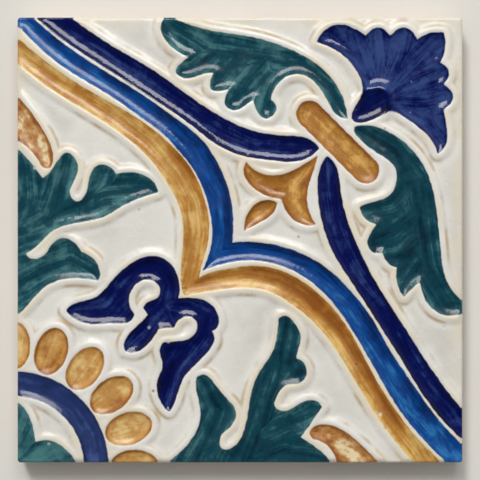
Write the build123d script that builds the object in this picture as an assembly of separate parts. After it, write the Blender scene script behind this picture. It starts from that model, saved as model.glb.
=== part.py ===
from build123d import *

import os

# One hand-painted relief tile: a square fired slab whose face is pressed with an ornament.
# Raised ridges outline every motif, and the coloured glazes lie in the hollows between them.
# Four tiles, each turned a quarter, complete one round medallion about the corner they share.

# Driving dimensions, in millimetres
TILE_SIDE = 140.0
BODY_THICKNESS = 10.0  # bed face to the white ground of the face
RIDGE_HEIGHT = 0.9  # ridge crest above the white ground
RIDGE_WIDTH = 1.3  # land between a hollow and the white ground
HOLLOW_DEPTH = 0.4  # floor of a coloured hollow below the white ground
FACE_EDGE_WEAR = 0.8  # worn bevel around the face
LAND_MARGIN = 0.4  # from the worn bevel to where the raised land stops
CORNER_RADIUS = 1.0  # rounding of the four upright corners
JOINT_WIDTH = 1.8  # grout joint that the ornament runs across when laid
REDRAW_STEP = 1.5  # spacing of the points through which a grown outline is redrawn

# The medallion about the shared corner
RING_INNER_RADIUS = 22.1
RING_OUTER_RADIUS = 29.5
PETAL_RING_RADIUS = 37.8
PETAL_LENGTH = 14.8
PETAL_WIDTH = 9.8
PETALS_PER_TURN = 20

# The tie that binds the sprig, square to the tile's diagonal
TIE_LENGTH = 33.0
TIE_WIDTH = 8.0
TIE_FROM_MEDALLION = 143.7  # from the medallion's centre, along the diagonal

# The ornament's squared drawing covers one tile and half a joint all round, and its corner
# (0, 0) is the medallion's centre. It was modelled by hand, so its two sides only nearly match.
DRAWING_SQUARES = 120
SQUARE = (TILE_SIDE + JOINT_WIDTH) / DRAWING_SQUARES

# Outlines on the squared drawing. Each row is one smooth stroke that goes on from the last
# point of the row before, so corners lie only where rows meet, and the last row closes.

# Sprig leaves that sweep from the tie to the tile's edges
UPPER_SPRIG_LEAF = [
    [(87, 98.2), (82, 105.2), (74, 110.2), (62, 114), (50, 116), (44, 118), (40.6, 119.4)],
    [(39.1, 116.4), (41.5, 111.8), (46.8, 108.8)],
    [(44.6, 107), (43.1, 104.7), (44.9, 103.2), (48.8, 103.8), (53.3, 104.4)],
    [(52.3, 102.2), (52.4, 100.2), (54.2, 99.7), (57.6, 100.4)],
    [(56.3, 98), (56.4, 95.7), (58.4, 94.6), (61, 95.6), (63.8, 97.5)],
    [(64.4, 94.9), (67, 92.4), (69, 93.6), (68.1, 97.2)],
    [(69.3, 100.8), (72.5, 103.6), (76.5, 104.1), (80.6, 101.4), (83.4, 97), (85.4, 93.8), (88.4, 92.4)],
]
RIGHT_SPRIG_LEAF = [
    [(96.2, 89.9), (100.6, 87.9), (105.1, 84.4), (109.1, 78.8), (111.4, 72), (112.5, 64), (113.3, 56),
     (114.6, 49.4), (116.4, 46.3), (119.6, 43.2)],
    [(119.6, 41)],
    [(115.4, 40), (111.2, 41.8), (109, 45), (107.9, 49.1)],
    [(106, 47.6), (103.6, 45)],
    [(101.9, 48.6), (101.8, 52.7)],
    [(99.6, 53.8), (98, 56.8)],
    [(95.6, 56.8), (93.9, 59.6)],
    [(94.8, 61.8), (96.7, 64.3)],
    [(93.6, 65.6), (91.9, 68.8)],
    [(95.1, 69.9), (99.5, 71.5), (101.7, 75.6), (101, 79.8), (97.1, 82.9), (92.6, 86.2), (90.4, 89)],
    [(90.4, 90)],
]

# Halves of the large leaves that stand on the tile's edges, each with its side shoot
LEFT_EDGE_LEAF = [
    [(2.6, 82.4), (5.4, 79.1), (7.5, 76.3)],
    [(10.4, 79), (14.3, 83), (16.5, 80.8), (15.6, 75.4), (14.7, 72.2), (16.6, 70.1), (19.2, 72.4),
     (20.2, 76.8), (22.6, 79.8), (25.4, 79.2), (27, 77.2)],
    [(31, 77.9), (35.4, 76.6), (38.1, 72.8)],
    [(34, 71.5), (29.5, 69.6), (24, 66.4), (16, 64.6), (10.4, 62.7), (6.6, 59.2), (2.9, 56.4)],
    [(4, 55.1), (8, 55.8), (10, 58.6), (13, 60.4), (15.8, 59.2), (17.8, 56.7)],
    [(20.6, 55.2), (22.6, 51.8), (22.3, 49.4)],
    [(18, 49.9), (12, 49.5), (8, 47.6), (4, 43.4), (0, 39.6)],
    [(0, 85)],
]
LOWER_EDGE_LEAF = [
    [(44.5, 3.8), (48, 8.2), (49.7, 14), (48.6, 20), (48.6, 23.4)],
    [(50.6, 24.1), (53.2, 21.6), (56.2, 18), (58.8, 14), (57.2, 10.4), (54.6, 7.6), (55.2, 4.4),
     (58.4, 5), (61, 8.8), (62.1, 13), (63, 19), (65.4, 25), (68.8, 30.3), (70.1, 35), (70.3, 39)],
    [(71.8, 39.7), (74.4, 37.8), (76, 34.2), (75.3, 31), (74.9, 28.4)],
    [(77, 27), (77.5, 24.2), (75.6, 22.1), (72.4, 21.6), (69.8, 18.8), (69.2, 15.6), (71.4, 14.4),
     (75, 15.8), (79, 17.3), (81.7, 15.7)],
    [(79.8, 13), (77.5, 9.7), (75.8, 7.6)],
    [(78.4, 6), (82, 3.2), (84.6, 0)],
    [(40, 0)],
]

# Halves of the buds behind the large leaves
LEFT_EDGE_BUD = [
    [(3, 95.6), (7, 90), (9.8, 84.4), (10.2, 80.9)],
    [(9, 79.2), (7.3, 79.9)],
    [(5.6, 82.6), (3, 85.2), (0, 87.4)],
    [(0, 98.8)],
]
LOWER_EDGE_BUD = [
    [(95, 2.6), (91.5, 6), (87.5, 9.2), (82.8, 10.9), (79.9, 10.4)],
    [(78.7, 8.7), (79.6, 7.3)],
    [(82.4, 6.2), (84.6, 4), (86.2, 0)],
    [(97.4, 0)],
]

# Outer bands, which run free from the tile's edges to the tie
UPPER_OUTER_BAND = [
    [(15.8, 118.3), (26, 111.4), (37, 104.9), (48, 97), (56, 92), (64, 88.7), (72, 87.6), (77.5, 87),
     (80.9, 84.4)],
    [(78, 81.9), (68, 81.3), (60, 82.7), (54, 85.4), (48, 89.9), (40, 95.5), (24, 105.9), (9.5, 115.9),
     (3.6, 121.4)],
    [(11, 122)],
]
RIGHT_OUTER_BAND = [
    [(85.4, 79.6), (86.5, 74), (88, 66.5), (91.5, 57.5), (96.5, 47.8), (101.3, 40.3), (107.5, 30.5),
     (114, 21), (119, 14.8), (122, 11.4)],
    [(122, 5)],
    [(115.3, 10.7), (109.3, 18.1), (103.2, 27.9), (97.2, 37.4), (90, 48.5), (84.5, 57.5), (81.9, 65),
     (80.8, 72), (81.2, 78.4), (83.2, 82.2)],
]

# Middle and inner bands: two arms each, which meet in a cusp
UPPER_MIDDLE_BAND = [
    [(8, 116.1), (16, 109.9), (24, 104.7), (32, 99.8), (40, 94.3), (46, 89.9), (50.4, 85.8), (54, 80.2),
     (56.8, 73.5), (58, 66.5), (58, 62), (57.9, 59.2)],
    [(50.2, 52)],
    [(52.1, 57), (52.8, 62), (52.2, 67.5), (50.6, 73), (48, 78.4), (44, 83.6), (40, 88), (34, 92.5),
     (26, 98.2), (18, 103), (10, 108.4), (4, 114), (-1, 119.5)],
    [(2.4, 121.4)],
]
RIGHT_MIDDLE_BAND = [
    [(62, 59.4), (68, 58.8), (76, 56.4), (84, 51.6), (90, 45.6), (94.7, 39.5), (99.3, 31.4),
     (105.7, 21.8), (112.7, 12.1), (117.7, 6.7), (121.2, 3.4)],
    [(117.4, -1.5)],
    [(113, 2.9), (107, 9.1), (101, 17.2), (96, 25.8), (90, 36), (84, 44.4), (76, 51), (70, 53.6),
     (62, 54.7), (55.4, 53.8), (50.2, 52)],
    [(57.9, 59.2)],
]
UPPER_INNER_BAND = [
    [(8, 107.5), (16, 101.9), (24, 97.2), (32, 92.6), (38, 88.3), (42, 84.7), (46.6, 79.4), (50, 72.2),
     (51.6, 65), (51.2, 58.6), (49.8, 53.8), (48.9, 49.6)],
    [(45.2, 45.4)],
    [(44.4, 50), (44.8, 56), (45.1, 62), (44.4, 68), (42, 73.4), (38.4, 79), (33, 84.8), (26, 90.2),
     (18, 95.2), (9, 100.8), (3, 105.4), (-2, 109.8)],
    [(-2, 116.4)],
]
RIGHT_INNER_BAND = [
    [(52, 51.1), (58, 52.4), (64, 53), (70, 52), (76, 49.2), (82, 44.5), (88, 37.3), (92, 30.5),
     (96, 22.8), (101, 15), (107, 7.2), (112, 2.2), (115, -1)],
    [(108.6, -1.6)],
    [(104, 3.6), (98, 11.2), (92, 20.6), (86, 30.5), (80, 38.1), (74, 43), (68, 46.4), (62, 47.5),
     (54, 46.9), (48, 46), (45.2, 45.4)],
    [(48.9, 49.6)],
]

# Motifs along the diagonal
CORNER_FLOWER = [
    [(91.8, 103.8), (88.9, 107.9), (85.4, 110.6), (80.6, 112.6)],
    [(82.7, 115.7), (86.5, 117.1), (90.4, 116), (93.4, 114.1)],
    [(96.8, 116.3), (99.9, 114)],
    [(103.6, 116.3), (107.1, 113.1)],
    [(110.1, 114.7), (114, 115)],
    [(114.4, 111.6), (113, 107.2)],
    [(115.4, 104.2), (113.9, 101.4)],
    [(116.5, 97.8), (113.9, 94.7)],
    [(114.9, 89.5), (114.4, 85), (112.6, 83.1)],
    [(109.9, 87.9), (105.9, 91.3), (102.1, 94.1), (100.4, 96.3)],
    [(99.9, 99.6), (97, 101.1)],
    [(94, 100.4)],
]
CALYX = [
    [(91, 95.9), (92.6, 97.8), (94.1, 99.2)],
    [(97.2, 99.3), (99, 96.8)],
    [(98.2, 94), (95, 92), (91.2, 91.3), (89.7, 92.3)],
]
LILY = [
    [(64.4, 78.1), (69, 77), (74, 78.3), (80.4, 82.2)],
    [(79, 77.4), (77.6, 71.6), (78.2, 67.6), (80, 64.2)],
    [(76.8, 64.2), (73.2, 66.6), (71.2, 71)],
    [(66.8, 72), (63.2, 74.4), (61.2, 77.6), (61.7, 80.5)],
]
ALMOND = [
    [(62, 66.6), (64.4, 69.6), (67, 70.5), (69.8, 69.8)],
    [(68.7, 67.4), (65.4, 64.8), (61.2, 62.6)],
]

# The bow: two ribbons and a tail, which run together in its knot
LEFT_RIBBON = [
    [(43.5, 49.6), (40.6, 54.3), (36, 55.6), (31, 53.6), (26, 49), (21.4, 44.5), (16, 42.9), (13.9, 41.2)],
    [(16.2, 39.2), (20, 37.8), (26, 38), (30, 38.2), (31.9, 40.2)],
    [(30.4, 43.6), (31.6, 47.6), (35.2, 49.6), (38.6, 47.8), (38.3, 44.7), (35.8, 43.5), (34.4, 42)],
    [(36.2, 39.4)],
    [(43, 40)],
    [(43.4, 44.4)],
]
RIGHT_RIBBON = [
    [(46.6, 44.5), (50.2, 44), (53.4, 41.4), (54.2, 37.8), (52.4, 35.8)],
    [(53, 33.4), (51.2, 30.2), (48, 27), (44.6, 22.8), (43.1, 18.6), (41.2, 14.6)],
    [(38.6, 18), (38.2, 22.6), (39.6, 27), (38.8, 30.4), (39.6, 32.6)],
    [(43, 32.9), (46.4, 33.6), (48.6, 36), (48.3, 38.8), (45.6, 39.8), (43.4, 38.6), (42.4, 36.8)],
    [(38.6, 36.6)],
    [(39, 42)],
    [(43.4, 44.4)],
]
BOW_TAIL = [
    [(32, 36.4), (29.4, 32.6), (29.6, 30.6)],
    [(32.4, 30.4), (35.8, 32.8), (38.2, 36.4)],
    [(41, 40)],
    [(37, 41.4)],
    [(35.4, 39.8)],
]

# Leaves in the middle of the medallion
MEDALLION_LEAVES = [
    [(3.7, 13.5), (5.2, 8.6), (5.5, 6)],
    [(8.6, 6.7), (13, 4.8), (16.8, 0)],
    [(0, 0)],
    [(0, 17.4)],
]

OUTLINES = [
    UPPER_SPRIG_LEAF,
    RIGHT_SPRIG_LEAF,
    LEFT_EDGE_LEAF,
    LOWER_EDGE_LEAF,
    LEFT_EDGE_BUD,
    LOWER_EDGE_BUD,
    UPPER_OUTER_BAND,
    RIGHT_OUTER_BAND,
    UPPER_MIDDLE_BAND,
    RIGHT_MIDDLE_BAND,
    UPPER_INNER_BAND,
    RIGHT_INNER_BAND,
    CORNER_FLOWER,
    CALYX,
    LILY,
    ALMOND,
    LEFT_RIBBON,
    RIGHT_RIBBON,
    BOW_TAIL,
    MEDALLION_LEAVES,
]


def on_tile(point):
    """Place of a drawing point on the tile's face, from the tile's centre."""
    x, y = point
    return ((x - DRAWING_SQUARES / 2) * SQUARE, (y - DRAWING_SQUARES / 2) * SQUARE)


def face_of(rows):
    """Flat face inside a closed outline of smooth strokes."""
    edges = []
    start = rows[-1][-1]
    for row in rows:
        points = [on_tile(point) for point in [start, *row]]
        edges.append(Line(*points) if len(points) == 2 else Spline(*points))
        start = row[-1]
    return make_face(edges)


def medallion(growth):
    """Ring and petals about the corner that four tiles share, grown on every side."""
    centre = Pos(*on_tile((0, 0)))
    ring = Circle(RING_OUTER_RADIUS + growth) - Circle(RING_INNER_RADIUS - growth)
    petal = Ellipse(PETAL_LENGTH / 2 + growth, PETAL_WIDTH / 2 + growth)
    turn = 360 / PETALS_PER_TURN
    steps = range(PETALS_PER_TURN // 4 + 1)
    petals = [Rot(0, 0, step * turn) * Pos(PETAL_RING_RADIUS, 0) * petal for step in steps]
    return [centre * shape for shape in [ring, *petals]]


def tie(growth):
    """Round-ended bar square to the diagonal, grown on every side."""
    along = TIE_FROM_MEDALLION / 2**0.5
    corner_x, corner_y = on_tile((0, 0))
    bar = SlotOverall(TIE_LENGTH + 2 * growth, TIE_WIDTH + 2 * growth)
    return Pos(corner_x + along, corner_y + along) * Rot(0, 0, -45) * bar


def land_round(face):
    """The face grown by the ridge width, with its offset curves redrawn as plain splines."""
    edges = []
    for edge in offset(face, RIDGE_WIDTH, kind=Kind.ARC).edges():
        if edge.geom_type == GeomType.OFFSET:
            spans = max(3, round(edge.length / REDRAW_STEP))
            points = [edge.position_at(span / spans) for span in range(spans + 1)]
            edge = Spline(*points, tangents=[edge.tangent_at(0), edge.tangent_at(1)])
        edges.append(edge)
    return make_face(edges)


def slab():
    """Fired body up to the white ground, with rounded corners and a worn face edge."""
    body = Box(TILE_SIDE, TILE_SIDE, BODY_THICKNESS, align=(Align.CENTER, Align.CENTER, Align.MIN))
    body = fillet(body.edges().filter_by(Axis.Z), CORNER_RADIUS)
    return chamfer(body.faces().sort_by(Axis.Z)[-1].edges(), FACE_EDGE_WEAR)


def tile():
    """The whole tile: the slab, raised land round every motif, and a hollow sunk in each.

    The land stops short of the worn edge of the face, and the hollows run out over it.
    """
    drawn = [face_of(rows) for rows in OUTLINES]
    grown = [land_round(face) for face in drawn]
    colour_area = Sketch() + [*drawn, tie(0), *medallion(0)]
    raised_area = Sketch() + [tie(RIDGE_WIDTH), *medallion(RIDGE_WIDTH), *grown]
    land_side = TILE_SIDE - 2 * (FACE_EDGE_WEAR + LAND_MARGIN)
    land_limit = RectangleRounded(land_side, land_side, CORNER_RADIUS)
    ground = Pos(0, 0, BODY_THICKNESS)
    crest = Pos(0, 0, BODY_THICKNESS + RIDGE_HEIGHT)
    raised = extrude(ground * (land_limit & raised_area), RIDGE_HEIGHT)
    hollows = extrude(crest * colour_area, -(RIDGE_HEIGHT + HOLLOW_DEPTH))
    return slab() + raised - hollows


os.makedirs("parts", exist_ok=True)
made = tile()
print("valid", made.is_valid)
export_step(made, "parts/tile.step")
print("solids", len(made.solids()), "volume_mm3", round(made.volume), "faces", len(made.faces()))
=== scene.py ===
"""Visual model of one hand-painted relief tile, laid on a plain floor and seen from straight above.

The relief follows the hollows of the solid tile: each hollow's outline is read from the solid, and
the distance from it shapes the soft glazed slopes and places the colours.
"""

import math

import bpy
import numpy as np
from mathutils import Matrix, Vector, noise


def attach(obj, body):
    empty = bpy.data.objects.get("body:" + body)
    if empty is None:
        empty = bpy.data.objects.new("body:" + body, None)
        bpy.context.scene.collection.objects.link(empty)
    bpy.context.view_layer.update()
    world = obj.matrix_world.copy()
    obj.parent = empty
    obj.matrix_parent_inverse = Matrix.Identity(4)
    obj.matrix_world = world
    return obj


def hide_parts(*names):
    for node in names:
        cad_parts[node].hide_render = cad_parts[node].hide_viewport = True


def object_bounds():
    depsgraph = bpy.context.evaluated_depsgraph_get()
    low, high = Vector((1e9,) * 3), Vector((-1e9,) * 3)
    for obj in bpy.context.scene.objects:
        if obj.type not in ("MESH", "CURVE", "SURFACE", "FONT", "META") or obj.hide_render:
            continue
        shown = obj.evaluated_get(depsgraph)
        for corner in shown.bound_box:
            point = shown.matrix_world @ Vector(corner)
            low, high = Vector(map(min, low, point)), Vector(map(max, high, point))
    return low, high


bl_info = {
    "name": "Hand-painted Relief Tile",
    "version": (1, 0, 0),
    "blender": (4, 5, 0),
    "location": "View3D > Sidebar > Tile",
    "description": "Builds a glazed relief tile and the stage it is shown on",
    "category": "Add Mesh",
}

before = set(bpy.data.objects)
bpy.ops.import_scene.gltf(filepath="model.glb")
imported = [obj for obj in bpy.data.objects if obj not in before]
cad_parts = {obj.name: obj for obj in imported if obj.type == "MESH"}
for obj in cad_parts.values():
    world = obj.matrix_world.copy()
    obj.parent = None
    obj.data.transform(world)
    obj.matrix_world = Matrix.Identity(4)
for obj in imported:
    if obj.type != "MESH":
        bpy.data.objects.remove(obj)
CAD_LOW, CAD_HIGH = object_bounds()

MM = 0.001  # metres in a millimetre

# The ornament's squared drawing, as in the solid: one tile and half a joint all round
DRAWING_SQUARES = 120
JOINT_WIDTH = 1.8
TILE_SIDE = (CAD_HIGH.x - CAD_LOW.x) / MM
SQUARE = (TILE_SIDE + JOINT_WIDTH) / DRAWING_SQUARES

# Each glaze has a distance field of its own, in millimetres inside its hollows
GLAZES = ("cobalt", "indigo", "azure", "green", "ochre", "amber", "honey", "russet")
FIELDS = (*GLAZES, "along", "across", "tone", "ridge", "edge")
REACH = 8.0  # how far outside a hollow its field is followed

# Each hollow's glaze, how thin it was laid from 0 to 1, a point inside the hollow, and the strokes of the
# brush, on the squared drawing. A stroke of one point means that the brush fanned out from there.
BRUSHWORK = {
    "upper_outer_band": ("cobalt", 0.5, (34.4, 103), [
        [(4, 122), (20.8, 111.4), (34.4, 103), (48.2, 93.5), (55.2, 88.8), (63.3, 85.2), (82, 84.4)],
    ]),
    "right_outer_band": ("cobalt", 0.46, (92.3, 50), [
        [(122, 7), (107, 26), (98.2, 42), (92.3, 50), (87.8, 58), (85, 66), (83.9, 74), (83.3, 82)],
    ]),
    "corner_flower": ("cobalt", 0.68, (104, 106), [
        [(94, 101), (90, 108), (83, 113)],
        [(96, 101), (93, 109), (90.5, 115)],
        [(97, 100), (97.5, 109), (97, 115)],
        [(98, 100), (101.5, 108), (103.5, 115)],
        [(99, 99), (106, 107), (112.5, 114)],
        [(99.5, 98), (108, 102.5), (114, 105)],
        [(100.5, 97), (109, 97), (115, 98)],
        [(102, 95.5), (109, 91), (113, 85)],
    ]),
    "calyx": ("cobalt", 0.42, (95, 96), [
        [(89.5, 92), (99.5, 98)],
    ]),
    "bow": ("cobalt", 0.46, (36, 53), [
        [(14, 41), (24, 43), (31, 51), (38, 53), (41.5, 48), (40.5, 42.5), (34, 35), (30, 31)],
        [(41, 42.5), (46, 42.3), (51.5, 40), (50.5, 34), (44, 26), (41, 15)],
    ]),
    "medallion_ring": ("indigo", 0.5, (15.5, 15.5), [
        [(-1, 21.9), (8.4, 20.3), (15.5, 15.5), (20.3, 8.4), (21.9, -1)],
    ]),
    "middle_band": ("azure", 0.47, (55, 65), [
        [(-2, 121.5), (14.1, 108.3), (27.7, 99.8), (38.7, 91.9),
         (47.6, 83.8), (54.2, 72), (55.2, 62), (54, 56.2)],
        [(54, 56.2), (62, 56.9), (70, 55.8), (78.4, 52.2),
         (88.4, 43.5), (96.2, 32), (105.9, 15.8), (121, -1)],
    ]),
    "inner_band": ("ochre", 0.6, (48, 65), [
        [(-2, 114), (13.2, 103), (26.3, 94.8), (37, 86.8), (44.1, 78.2),
         (48.4, 70.4), (49.6, 62), (48.2, 53.6), (46.6, 48)],
        [(46.6, 47), (54, 48.4), (62, 49.3), (69.6, 48), (76.3, 43.9),
         (85, 34.9), (92.1, 23.5), (99.9, 11.2), (109, -1)],
    ]),
    "lily": ("honey", 0.5, (72, 74), [
        [(80, 81.5), (72, 77.5), (65, 76.5), (61.5, 80)],
        [(80, 81.5), (75, 75), (75, 69), (79, 64.5)],
    ]),
    "lower_edge_bud": ("russet", 0.5, (86, 8.4), [
        [(79.5, 9), (86, 8.5), (93, 3.5), (97, 0)],
    ]),
    "left_edge_bud": ("russet", 0.56, (6.5, 87.5), [
        [(0, 98), (2.5, 94.5), (7, 87.5), (9, 80)],
    ]),
    "tie": ("honey", 0.52, (86, 86), [
        [(78.5, 93.3), (93.5, 78.8)],
    ]),
    "almond": ("honey", 0.5, (66.2, 67.8), [
        [(61.5, 63), (69.6, 69.8)],
    ]),
    "left_edge_leaf": ("green", 0.62, (20, 68), [
        [(-1, 61), (12, 67), (24, 72), (38, 73)],
        [(0, 63), (3, 72), (2, 83)],
        [(9, 65), (12, 74), (14, 82)],
        [(17, 69), (22, 75), (24.5, 79)],
        [(-1, 47), (8, 52), (15, 54.5), (22, 50.5)],
    ]),
    "lower_edge_leaf": ("green", 0.52, (66, 16), [
        [(61, -1), (66, 12), (70, 24), (72.5, 39)],
        [(63, 1), (72, 4), (83, 2)],
        [(66, 9), (73, 12.5), (80, 15.5)],
        [(69, 18), (74, 23), (77, 25)],
        [(47, -1), (52, 8), (54.5, 15), (50.5, 22)],
    ]),
    "right_sprig_leaf": ("green", 0.48, (106, 76), [
        [(91, 89.6), (101, 84), (106.5, 76), (108, 64), (109.5, 52), (115.5, 42.5)],
        [(106, 75), (100, 70), (93.5, 68.5)],
        [(107, 66), (101, 61.5), (95, 59.5)],
        [(107.5, 60), (102.5, 55.5), (99, 55)],
        [(108.5, 54), (105, 49), (104, 46.5)],
    ]),
    "upper_sprig_leaf": ("green", 0.62, (66, 108), [
        [(88, 93.5), (84, 101), (76, 107), (64, 109), (52, 111), (41.5, 117.5)],
        [(76, 106), (70, 101), (67.5, 94)],
        [(67, 108), (61, 101), (58, 96.5)],
        [(60, 109), (55, 103.5), (53.5, 101)],
        [(53, 110), (48, 105.5), (45, 104.8)],
    ]),
    "medallion_leaves": ("green", 0.78, (3, 3), [
        [(-2, -2)],
    ]),
}

# The petals round the medallion, as turns from the lower edge and squares from its centre
PETAL_TURNS = (4, 18, 36, 54, 72, 86)
PETAL_REACH = 32
PETAL_TONES = (0.52, 0.6)
for number, turn in enumerate(PETAL_TURNS):
    angle = math.radians(turn)
    seed = (PETAL_REACH * math.cos(angle), PETAL_REACH * math.sin(angle))
    tone = PETAL_TONES[number % len(PETAL_TONES)]
    BRUSHWORK[f"petal_{number + 1}"] = ("amber", tone, seed, [[(0, 0)]])

FAN_STRETCH = 0.6  # strokes that fan out are broader than those along a line

# How much thinner these were laid toward both ends of their strokes
THIN_ENDS = {"middle_band": 0.24}

# The blue of these two ran together over the ridge between them
RUN_TOGETHER = ("corner_flower", "calyx")
RUN_WIDTH = 6.4

# A hollow's floor in the solid is level within this, and lies at least this far below the white ground
LEVEL_WITHIN = 0.01
SUNK_BY = 0.1

# A rim this close to the tile's side lies along its edge, and there the glazes run straight on outward
EDGE_STRIP = 0.5
EDGE_HOLD = 0.7

# Slow waves that hand pressing leaves: their size in millimetres, and a place of their own in the noise
CREST_WAVES = (14.0, 3.7)
PRESS_WAVES = (26.0, 9.2)
FINGER_WAVES = (6.0, 1.4)
DENT_WAVES = (11.0, 5.5)
CREST_SPREAD = 0.14  # share by which the height of the crests differs
FINGER_SHARE = 0.35  # height of the small waves, as a share of the slow ones

# The relief dies away this close to the tile's side, where a hollow keeps a share of its depth
RIDGE_FADE = 1.5
HOLLOW_FADE = 1.2
HOLLOW_KEPT = 0.35

# Grid lines over the worn edge, as distances from the tile's side, and the first line of the even grid
EDGE_LINES = (0.0, 0.08, 0.2, 0.38, 0.62)
EVEN_FROM = 0.95

# Rows of points down the sides, as shares of the height, the depth of the dents in the sides, and how far
# the lowest rows are tucked in
SIDE_ROWS = (0.92, 0.8, 0.62, 0.42, 0.24, 0.1, 0.045, 0.0)
DENT_DEPTH = 0.1
FOOT_TUCKS = {0.045: 0.08, 0.0: 0.35}

# The texture map: shares of its width for the face, each side and the bed face, and the gap between them
FACE_SHARE = 0.87
SIDE_SHARE = 0.055
BED_SHARE = 0.11
MAP_GAP = 0.004


def srgb(red, green, blue):
    """Linear colour of a screen colour given from 0 to 255, by the curve of the sRGB standard."""
    linear = []
    for level in (red, green, blue):
        share = level / 255
        linear.append(share / 12.92 if share <= 0.04045 else ((share + 0.055) / 1.055) ** 2.4)
    return (*linear, 1.0)


GLAZE_IOR = 1.62  # lead and tin make the glaze bend light more than window glass does

# How each glaze lies: paler (+) or darker (-) at its rim and in the middle of a wide motif, how strong its
# streaks and clouds are, how much darker the upper side of a band is, and how dark the middle of a stroke is.
# A darker rim and a darker upper side are painted shade in the hollow, together with glaze that gathered
# there
GLAZE_HABITS = {
    "cobalt": {"Rim": -0.2, "Heart": 0.0, "Streak": 0.3, "Cloud": 0.3, "Pool And Shade": 0.0, "Middle": -0.1},
    "indigo": {"Rim": -0.2, "Heart": 0.0, "Streak": 0.22, "Cloud": 0.25, "Pool And Shade": 0.0, "Middle": 0.0},
    "azure": {"Rim": -0.1, "Heart": 0.0, "Streak": 0.4, "Cloud": 0.25, "Pool And Shade": 0.3, "Middle": 0.0},
    "green": {"Rim": 0.1, "Heart": 0.0, "Streak": 0.3, "Cloud": 0.34, "Pool And Shade": 0.0, "Middle": 0.2},
    "ochre": {"Rim": 0.2, "Heart": 0.0, "Streak": 0.28, "Cloud": 0.24, "Pool And Shade": 0.5, "Middle": -0.08},
    "amber": {"Rim": -0.5, "Heart": 0.1, "Streak": 0.3, "Cloud": 0.5, "Pool And Shade": 0.1, "Middle": 0.0},
    "honey": {"Rim": -0.4, "Heart": 0.1, "Streak": 0.24, "Cloud": 0.5, "Pool And Shade": 0.1, "Middle": -0.1},
    "russet": {"Rim": -0.4, "Heart": 0.3, "Streak": 0.3, "Cloud": 0.8, "Pool And Shade": 0.5, "Middle": 0.0},
}

# Roughness of the white glaze and of each colour: iron leaves a glaze less glossy
WHITE_ROUGHNESS = 0.27
GLAZE_ROUGHNESS = {
    "cobalt": 0.12,
    "indigo": 0.2,
    "azure": 0.19,
    "green": 0.17,
    "ochre": 0.24,
    "amber": 0.28,
    "honey": 0.24,
    "russet": 0.3,
}


def size_setting(name, description, millimetres_long):
    """A length that the user can change."""
    return bpy.props.FloatProperty(
        name=name,
        description=description,
        default=millimetres_long * MM,
        unit="LENGTH",
    )


def colour_setting(name, description, screen_colour):
    """A colour that the user can change."""
    return bpy.props.FloatVectorProperty(
        name=name,
        description=description,
        default=srgb(*screen_colour),
        subtype="COLOR",
        size=4,
        min=0.0,
        max=1.0,
    )


# Noises of the glazes, the clay and the floor: how many to a millimetre, their detail and their roughness
NOISES = {
    "painted edge": (0.5, 3.0, 0.5),
    "broad clouds": (0.13, 3.0, 0.6),
    "blotches": (0.36, 3.0, 0.6),
    "gathering": (0.06, 2.0, 0.5),
    "ground clouds": (0.045, 4.0, 0.55),
    "bright patches": (0.11, 2.0, 0.5),
    "broken foot shade": (0.13, 3.0, 0.5),
    "thin ridge": (0.06, 4.0, 0.5),
    "thin edge": (0.09, 3.0, 0.5),
    "ripple": (0.2, 2.0, 0.5),
    "peel": (0.7, 2.0, 0.5),
    "dulling": (0.12, 4.0, 0.5),
    "clay clouds": (0.07, 4.0, 0.6),
    "clay grain": (1.6, 3.0, 0.6),
    "clay scrapes": (0.55, 3.0, 0.6),
    "overrun": (0.14, 3.0, 0.5),
    "floor clouds": (0.01, 3.0, 0.5),
}

# Marks of the brush: how many to a millimetre across and along the stroke, and their detail
BRUSH_SWATHES = (0.5, 0.045, 2.0)
BRUSH_HAIRS = (1.7, 0.12, 3.0)
TONE_SHIFT = 37.0  # glazes of another tone get other brush marks

# A painted edge wanders by up to half of this, and fades between these depths, in millimetres
EDGE_WANDER = 0.55
EDGE_FADE = (-0.42, 0.02)

# Specks and pinholes: their number to a millimetre, the share of places that hold a speck, the level above
# which a place holds a pinhole, how strong both are, and the depth of a pinhole in millimetres
MARK_SCALE = 0.22
SPECK_AMOUNT = 0.05
PIT_LEVEL = 0.955
SPECK_STRENGTH = 0.75
PINHOLE_STRENGTH = 0.6
PIT_DEPTH = 0.12

# Heights of the glaze's ripple and peel, of the clay's grain and scrapes and of the glaze that ran over
# the edge, in millimetres
RIPPLE_HEIGHT = 0.11
PEEL_HEIGHT = 0.05
GRAIN_HEIGHT = 0.12
SCRAPE_HEIGHT = 0.1
OVERRUN_HEIGHT = 0.12

# Glaze that ran over the edge: how far its lower line wanders, and the heights between which it thins out
OVERRUN_WANDER = 5.0
OVERRUN_FADE = (4.6, 5.3)
CLAY_ROUGHNESS = 0.86
OVERRUN_ROUGHNESS = 0.2
SCRAPE_STRETCH = (1.0, 0.25, 1.0)

# The stage: colours of the lamps and the sky, where the lamps stand in metres, and the floor
LAMP_COLOUR = (1.0, 0.985, 0.96)
SKY_COLOUR = (0.96, 0.98, 1.0, 1.0)
WINDOW_PLACE = (0.0, 0.5, 0.78)
RAKING_PLACE = (-0.25, 0.66, 0.78)
OVERHEAD_PLACE = (0.0, 0.1, 1.0)
FLOOR_REACH = 40  # tile sides from the middle to the floor's edge
FLOOR_LIFT = 0.05  # the floor lies a hair above the bed face, so that the back is lit when seen from below
FLOOR_ROUGHNESS = 0.9


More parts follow.
